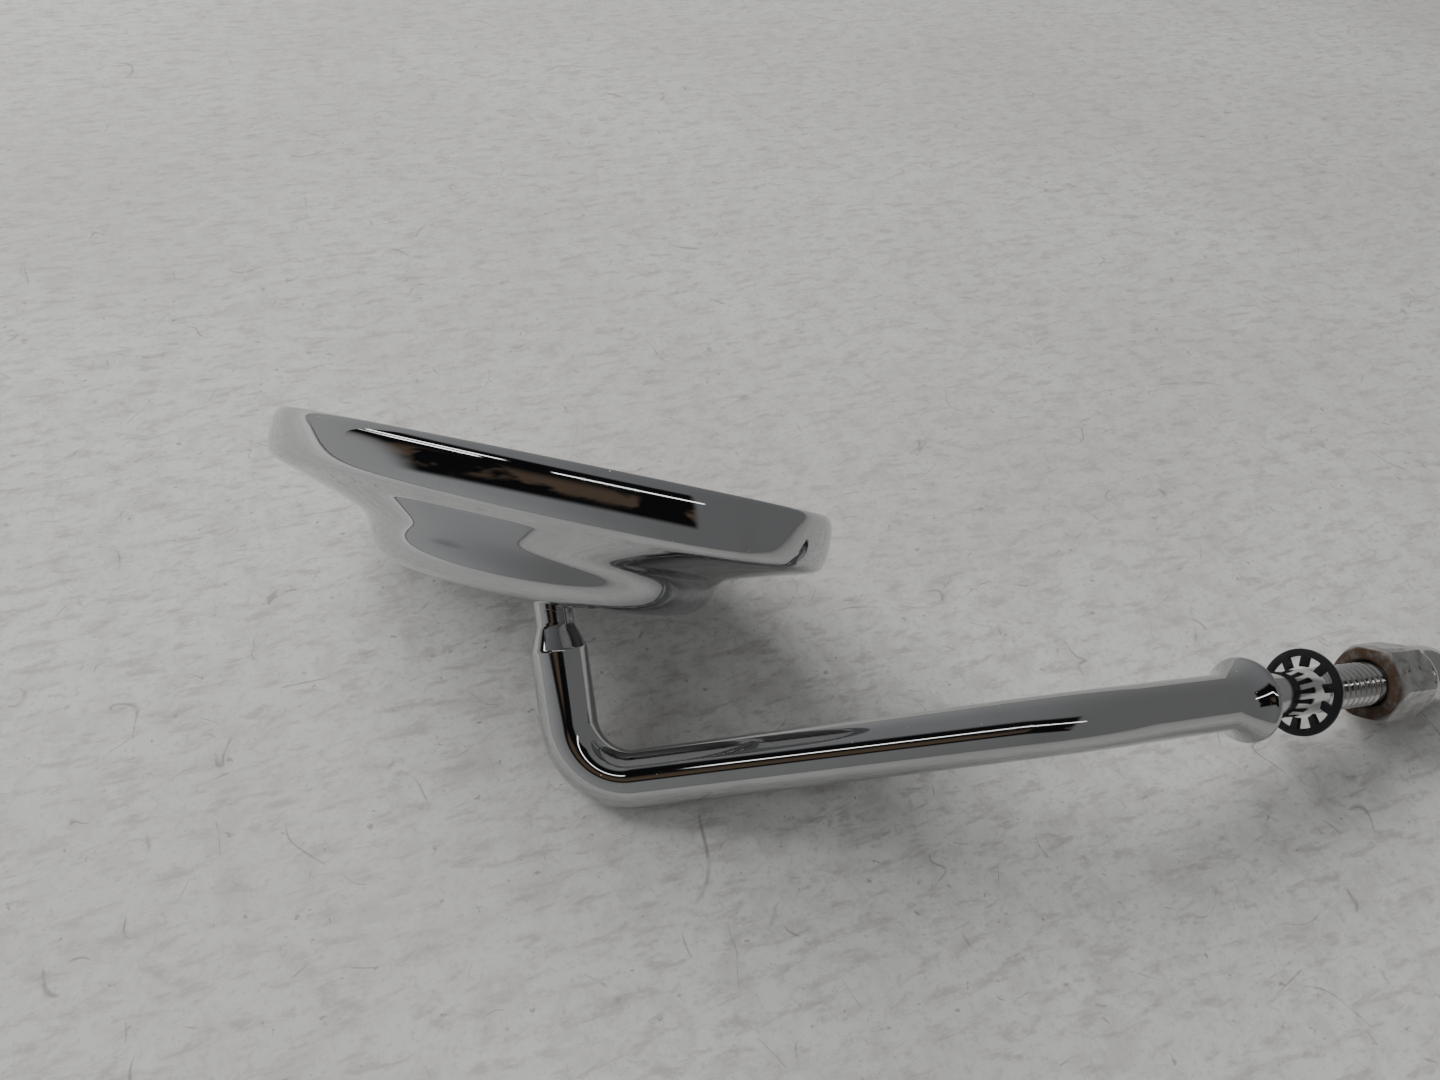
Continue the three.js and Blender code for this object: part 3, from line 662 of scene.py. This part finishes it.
def make_acorn_cap():
    """A drawn cap: a small foot rolled over by the hexagon, a straight stretch and a round end."""
    outside = [(CAP_AT, 4.5), (CAP_AT, CAP - 0.35), (CAP_AT + 0.12, CAP - 0.1), (CAP_AT + 0.4, CAP)]
    outside += [(CAP_AT + 0.75, CAP), (CAP_AT + 0.95, CAP - 0.12), (CAP_AT + 1.2, CAP - 0.16)]
    outside += [(CAP_AT + 2.6, CAP - 0.16), (CAP_AT + CAP_SHOULDER, CAP - 0.17)]
    steps = 16
    for i in range(1, steps):
        angle = math.pi / 2 * i / steps
        along = CAP_AT + CAP_SHOULDER + (CAP_LENGTH - CAP_SHOULDER) * math.sin(angle)
        outside.append((along, (CAP - 0.17) * math.cos(angle) ** 0.86))
    outside.append((CAP_AT + CAP_LENGTH, 0))
    bm = turn_profile(outside, 64)
    cap = finish_piece("acorn_cap", bm, STEM_PLACE, cap_nickel, "nut")
    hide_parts("nut_cap")
    return cap


def make_toothed_washer():
    """A ring whose inner edge is drawn out into ten twisted teeth."""
    per_tooth = 10
    bm = bmesh.new()
    made = bmesh.ops.create_circle(bm, cap_ends=False, radius=WASHER, segments=WASHER_TEETH * per_tooth)
    inner, inner_edges = extrude_ring(bm, loop_edges(bm, made["verts"]))
    root = 6.3
    tip = STUD + 0.5
    bmesh.ops.scale(bm, vec=(root / WASHER, root / WASHER, 1), verts=inner)
    half = math.radians(0.215 * 360 / WASHER_TEETH)
    steps = 4
    for k in range(WASHER_TEETH):
        middle = 2 * math.pi * (k + 0.5) / WASHER_TEETH
        radial = Vector((math.cos(middle), math.sin(middle), 0))
        chosen = [edge for edge in inner_edges if near_angle(edge, radial, half)]
        for i in range(1, steps + 1):
            reach = root + (tip - root) * i / steps
            verts, grown = extrude_ring(bm, chosen)
            bmesh.ops.translate(bm, vec=radial * (tip - root) / steps, verts=verts)
            for vert in verts:
                sideways = vert.co - radial * vert.co.dot(radial)
                vert.co -= sideways * 0.01
            twist = Matrix.Rotation(math.radians(5), 4, radial)
            bmesh.ops.rotate(bm, cent=radial * reach, matrix=twist, verts=verts)
            chosen = grown
    bmesh.ops.recalc_face_normals(bm, faces=bm.faces)
    bmesh.ops.solidify(bm, geom=bm.faces[:], thickness=WASHER_THICKNESS)
    bmesh.ops.translate(bm, vec=(0, 0, -WASHER_THICKNESS / 2), verts=bm.verts)
    bmesh.ops.recalc_face_normals(bm, faces=bm.faces)
    bmesh.ops.bevel(
        bm, geom=sharp_edges(bm, 50), offset=0.12, offset_type="OFFSET", segments=2, profile=0.5,
        affect="EDGES", material=-1, clamp_overlap=True,
    )
    facing = math.radians(WASHER_LEAN_FACING)
    hinge = Vector((0, math.cos(facing), math.sin(facing)))
    lean = Matrix.Rotation(math.radians(WASHER_LEAN), 4, hinge)
    upright = Matrix.Rotation(math.pi / 2, 4, "Y")
    place = STEM_PLACE @ Matrix.Translation((WASHER_AT * MM, 0, 0)) @ lean @ upright
    washer = finish_piece("toothed_washer", bm, place, washer_oxide, "lock_washer")
    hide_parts("lock_washer")
    return washer


def near_angle(edge, radial, half):
    middle = (edge.verts[0].co + edge.verts[1].co) / 2
    return middle.angle(radial) < half


# ---- Head: levels of a superellipse, drawn up from the neck's hole to the rim and down inside it

def shrunk(outline, inset):
    return {**outline, "length": outline["length"] - inset, "width": outline["width"] - inset}


def circle(radius):
    return {"length": radius, "width": radius, "square": 2.0, "taper": 0.0, "x": 0.0, "y": 0.0}


def between(a, b, share):
    return {key: a[key] + (b[key] - a[key]) * share for key in a}


def outline_point(outline, turn, z):
    along = math.copysign(abs(math.cos(turn)) ** (2 / outline["square"]), math.cos(turn))
    across = math.copysign(abs(math.sin(turn)) ** (2 / outline["square"]), math.sin(turn))
    width = outline["width"] * (1 + outline["taper"] * along)
    return Vector((outline["x"] + outline["length"] * along, outline["y"] + width * across, z))


def draw_levels(levels, sides, closed):
    """Extrudes a ring from level to level, (outline, height), and closes it on itself or at both ends."""
    bm = bmesh.new()
    index = bm.verts.layers.int.new("index")
    made = bmesh.ops.create_circle(bm, cap_ends=False, radius=1, segments=sides)
    verts = made["verts"]
    for i, vert in enumerate(verts):
        vert[index] = i
    edges = loop_edges(bm, verts)
    start = edges
    for k, (outline, z) in enumerate(levels):
        if k:
            verts, edges = extrude_ring(bm, edges)
        for vert in verts:
            vert.co = outline_point(outline, 2 * math.pi * vert[index] / sides, z)
    if closed:
        bmesh.ops.bridge_loops(bm, edges=start + edges)
    else:
        bmesh.ops.contextual_create(bm, geom=start)
        bmesh.ops.contextual_create(bm, geom=edges)
    return bm


def rounded_corner(floor, radius, turns):
    """Levels round the corner between the dome's floor and its wall."""
    levels = []
    for degrees in turns:
        angle = math.radians(degrees)
        level = shrunk(floor, -radius * math.sin(angle))
        levels.append((level, DOME_WALL_FOOT - radius * math.cos(angle)))
    return levels


def shell_levels():
    """Outside of the shell, from the neck's hole up to the rim and down to the glass's ledge."""
    floor = shrunk(DOME, DOME_CORNER)
    levels = [
        (circle(NECK_HOLE), -4.4), (circle(NECK_HOLE), -5.0), (circle(NECK_HOLE + 0.12), -5.42),
        (circle(NECK_HOLE + 0.5), -5.56),
    ]
    for share in (0.12, 0.3, 0.52, 0.76, 0.94):
        reach = (NECK_HOLE + (floor["length"] - NECK_HOLE) * share) / floor["length"]
        level = between(circle(NECK_HOLE), floor, share)
        levels.append((level, -DOME_DEPTH + DOME_CROWN * reach ** 2.2))
    levels += rounded_corner(floor, DOME_CORNER, (14, 34, 56, 78))
    wall = levels[-1][0]
    rim = shrunk(RIM, 1.6)
    rise = RIM_BOTTOM - DOME_WALL_FOOT
    flare = ((0.03, 0.2), (0.1, 0.36), (0.22, 0.47), (0.4, 0.6), (0.6, 0.74), (0.8, 0.87), (0.93, 0.955))
    for share, height in flare:
        levels.append((between(wall, rim, share), DOME_WALL_FOOT - 0.4 + (rise + 0.2) * height))
    levels += [
        (shrunk(RIM, 0.95), RIM_BOTTOM + 0.15), (shrunk(RIM, 0.35), RIM_BOTTOM + 0.95),
        (shrunk(RIM, 0.08), RIM_BOTTOM + 2.2), (shrunk(RIM, -0.02), RIM_BOTTOM + 3.8),
        (shrunk(RIM, 0.0), RIM_BOTTOM + 5.4), (shrunk(RIM, 0.15), RIM_TOP - 2.1),
        (shrunk(RIM, 0.45), RIM_TOP - 1.1), (shrunk(RIM, 0.9), RIM_TOP - 0.4),
        (shrunk(RIM, 1.4), RIM_TOP), (shrunk(RIM, 1.9), RIM_TOP - 0.1), (shrunk(RIM, 2.2), RIM_TOP - 0.5),
        (shrunk(RIM, 2.25), RIM_TOP - 1.6), (shrunk(RIM, 2.25), LEDGE + 0.5), (shrunk(RIM, 2.3), LEDGE),
        (shrunk(RIM, 4.5), LEDGE - 0.05), (shrunk(RIM, 4.9), LEDGE - 0.3),
    ]
    return levels


def shell_lining():
    """Inside of the shell, from the ledge down to the ball's socket."""
    floor = shrunk(DOME, DOME_CORNER)
    top = LEDGE - 0.3
    ledge = shrunk(RIM, 4.9)
    wall = shrunk(DOME, WALL)
    levels = []
    for share in (0.2, 0.45, 0.7, 0.9):
        levels.append((between(ledge, wall, share), top + (DOME_WALL_FOOT - top) * share))
    levels.append((wall, DOME_WALL_FOOT))
    levels += rounded_corner(floor, DOME_CORNER - WALL, (60, 30, 0))
    foot = circle(SOCKET_FOOT)
    for share in (0.5, 1.0):
        reach = 1 - share + share * SOCKET_FOOT / floor["length"]
        levels.append((between(floor, foot, share), WALL - DOME_DEPTH + DOME_CROWN * reach ** 2))
    levels.append((circle(SOCKET_FOOT - 0.1), -0.7))
    for degrees in (84, 76, 68, 60, 53):
        angle = math.radians(degrees)
        levels.append((circle(SOCKET * math.sin(angle)), -SOCKET * math.cos(angle)))
    return levels


def make_shell():
    bm = draw_levels(shell_levels() + shell_lining(), 64, closed=True)
    shell = finish_piece("chrome_shell", bm, HEAD_PLACE, shell_chrome, "head", levels=2)
    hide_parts("back_shell")
    return shell


def glass_height(share):
    """The glass's face is part of a shallow dome."""
    return GLASS_EDGE + GLASS_CROWN * (1 - share ** 2)


def make_glass():
    edge = shrunk(RIM, GLASS_INSET)
    levels = [
        (shrunk(edge, 14), GLASS_BACK + 0.65), (shrunk(edge, 5), GLASS_BACK + 0.25),
        (shrunk(edge, 0.5), GLASS_BACK + 0.02), (shrunk(edge, 0.12), GLASS_BACK + 0.06),
        (edge, GLASS_BACK + 0.25), (edge, GLASS_EDGE - 0.31), (shrunk(edge, 0.15), GLASS_EDGE - 0.07),
        (shrunk(edge, 0.5), GLASS_EDGE + 0.02),
    ]
    for share in (0.95, 0.85, 0.7, 0.52, 0.34, 0.17, 0.05):
        smaller = {**edge, "length": edge["length"] * share, "width": edge["width"] * share}
        levels.append((smaller, glass_height(share)))
    bm = draw_levels(levels, 64, closed=False)
    glass = finish_piece("convex_glass", bm, HEAD_PLACE, silvered_glass, "head", levels=1)
    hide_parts("mirror_glass")
    return glass


def make_gasket():
    outer = shrunk(RIM, 2.5)
    inner = shrunk(RIM, 3.5)
    lip = shrunk(RIM, 4.15)
    levels = [
        (shrunk(outer, 0.25), GASKET_BOTTOM), (outer, GASKET_BOTTOM + 0.25),
        (outer, GASKET_TOP - 0.6), (shrunk(outer, 0.12), GASKET_TOP - 0.2),
        (shrunk(outer, 0.5), GASKET_TOP), (shrunk(outer, 1.1), GASKET_TOP - 0.08),
        (lip, GASKET_TOP - 0.4), (shrunk(lip, 0.03), GASKET_TOP - 0.5),
        (shrunk(inner, 0.4), GASKET_TOP - 0.52), (inner, GASKET_TOP - 0.7),
        (inner, GASKET_BOTTOM + 0.25), (shrunk(inner, -0.2), GASKET_BOTTOM),
    ]
    bm = draw_levels(levels, 64, closed=True)
    gasket = finish_piece("rubber_gasket", bm, HEAD_PLACE, gasket_rubber, "head", levels=1)
    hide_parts("glass_gasket")
    return gasket


# ---- Finishes of the pieces that are kept as they are

def finish_inner_pieces():
    """Gives each kept piece its own finish."""
    finishes = {
        "lower_liner": liner_nylon, "upper_liner": liner_nylon, "pressure_cup": spring_steel,
        "disc_spring": spring_steel, "retainer_plate": spring_steel, "glass_backing": backing_board,
        "foam_pad": pad_foam,
    }
    for k in (1, 2, 3):
        finishes[f"retainer_screw_{k}"] = screw_steel
        finishes[f"split_washer_{k}"] = spring_steel
    for name, material in finishes.items():
        slots = frame["nodes"][name].material_slots
        for held in slots:
            held.material = material


# ---- Studio: a pale floor and soft lights

def make_floor_material():
    """A pale painted table top: cloudy, finely grained, scuffed and scratched."""
    material, n, shader = start_material("pale_floor")
    where = n.mapped()
    cloud = n.noise(where, 7, 5, 0.6)
    mottle = n.noise(where, 150, 5, 0.7, 0.5)
    grain = n.noise(where, 700, 4, 0.75)
    brushed = n.noise(n.mapped(stretch=(0.35, 1.0, 1.0)), 380, 5, 0.7, 0.3)
    pale = n.mix(n.span(cloud, 0.35, 0.65), (0.60, 0.595, 0.583, 1), (0.69, 0.69, 0.678, 1))
    mottled = n.mix(n.span(mottle, 0.42, 0.66, 0.0, 0.45), pale, (0.44, 0.43, 0.415, 1))
    streaked = n.mix(n.span(brushed, 0.48, 0.68, 0.0, 0.8), mottled, (0.42, 0.41, 0.39, 1))
    grained = n.mix(n.span(grain, 0.5, 0.72, 0.0, 0.6), streaked, (0.41, 0.40, 0.38, 1))
    marked = grained
    for scale, warp, width, part in ((14, 0.4, 0.0026, 60), (31, 0.3, 0.004, 110), (52, 0.5, 0.005, 150)):
        bend = n.noise(where, scale, 1.5, 0.5, warp)
        line = n.span(n.math("ABSOLUTE", n.math("SUBTRACT", bend, 0.5)), 0.0, width, 1.0, 0.0)
        broken = n.span(n.noise(where, part, 3, 0.6), 0.54, 0.64, 0.0, 0.6)
        marked = n.mix(n.math("MULTIPLY", line, broken), marked, (0.20, 0.185, 0.17, 1))
    spots = n.span(n.noise(where, 420, 3, 0.6), 0.66, 0.72, 0.0, 0.75)
    n.feed(shader.inputs["Base Color"], n.mix(spots, marked, (0.30, 0.285, 0.265, 1)))
    n.feed(shader.inputs["Roughness"], n.span(brushed, 0.3, 0.7, 0.5, 0.68))
    add_bump(n, shader, n.math("ADD", grain, brushed), 0.0001, 0.5)
    return material


def make_floor():
    bm = bmesh.new()
    bmesh.ops.create_circle(bm, cap_ends=True, radius=6, segments=96)
    bmesh.ops.translate(bm, vec=(0, 0, -0.0001), verts=bm.verts)
    mesh = bpy.data.meshes.new("studio_floor")
    bm.to_mesh(mesh)
    bm.free()
    mesh.materials.append(make_floor_material())
    floor = bpy.data.objects.new("studio_floor", mesh)
    bpy.context.collection.objects.link(floor)


def add_softbox(name, place, aim, size, energy, colour=(1, 1, 1)):
    light = bpy.data.lights.new(name, "AREA")
    light.shape = "RECTANGLE"
    light.size, light.size_y = size
    light.energy = energy
    light.color = colour
    lamp = bpy.data.objects.new(name, light)
    facing = (Vector(aim) - Vector(place)).to_track_quat("-Z", "Y")
    lamp.matrix_world = Matrix.Translation(place) @ facing.to_matrix().to_4x4()
    bpy.context.collection.objects.link(lamp)
    return lamp


def light_studio():
    """An overcast room: pale all round, with one dark side, warm low down, and three thin bright lamps."""
    world = bpy.data.worlds.new("studio")
    bpy.context.scene.world = world
    world.use_nodes = True
    n = Nodes(world.node_tree)
    room = world.node_tree.nodes["Background"]
    way = n.add("ShaderNodeTexCoord").outputs["Generated"]

    def towards(direction):
        node = n.add("ShaderNodeVectorMath", operation="DOT_PRODUCT")
        n.feed(node.inputs[0], way)
        node.inputs[1].default_value = direction
        return node.outputs["Value"]

    def both(*masks):
        product = masks[0]
        for mask in masks[1:]:
            product = n.math("MULTIPLY", product, mask)
        return product

    side = towards((0.947, -0.320, 0.0))
    rise = towards((0.393, 0.625, 0.696))
    front = towards((-0.250, -0.650, 0.717))
    height = towards((0, 0, 1))
    left = towards((-0.8, 0.6, 0.0))

    pale = n.mix(n.span(height, 0.0, 0.9), (0.43, 0.43, 0.427, 1), (0.29, 0.294, 0.30, 1))
    sides = n.mix(n.span(left, -0.6, 0.9), (0.20, 0.20, 0.20, 1), pale)
    ahead = n.math("GREATER_THAN", front, 0.0)
    reach = n.math("ABSOLUTE", n.math("SUBTRACT", side, -0.29))
    dark = both(n.span(reach, 0.68, 0.62), n.span(rise, -0.15, -0.08), n.span(rise, 0.66, 0.56), ahead)
    cloudy = n.noise(way, 3.2, 3, 0.55, 0.4)
    warm = both(n.span(cloudy, 0.46, 0.56), n.span(rise, 0.26, 0.1), n.span(rise, -0.06, 0.02))
    shade = n.mix(warm, (0.009, 0.009, 0.010, 1), (0.12, 0.085, 0.06, 1))
    with_dark = n.mix(dark, sides, shade)
    lamps = None
    for place, middle, across in ((0.33, 0.0, 0.42), (0.42, -0.74, 0.13), (0.34, -0.78, 0.07)):
        thin = n.span(n.math("ABSOLUTE", n.math("SUBTRACT", rise, place)), 0.02, 0.012)
        along = n.math("ABSOLUTE", n.math("SUBTRACT", side, middle))
        lamp = both(thin, n.span(along, across + 0.03, across), ahead)
        lamps = lamp if lamps is None else n.math("ADD", lamps, lamp)
    n.feed(room.inputs["Color"], n.mix(lamps, with_dark, (5.0, 5.0, 4.9, 1)))
    room.inputs["Strength"].default_value = 1.0

    key = add_softbox("key_softbox", (-0.8, 1.2, 1.2), (0, 0, 0), (1.6, 1.0), 38, (1.0, 0.99, 0.97))
    fill = add_softbox("left_softbox", (-1.3, -0.1, 0.7), (0, 0, 0.02), (0.8, 1.2), 5, (0.96, 0.98, 1.0))
    for lamp in (key, fill):
        lamp.visible_glossy = False


make_stem_rod()
make_threaded_stud()
make_hexagon()
make_acorn_cap()
make_toothed_washer()
make_shell()
make_glass()
make_gasket()
finish_inner_pieces()
make_floor()
light_studio()

bpy.context.view_layer.update()
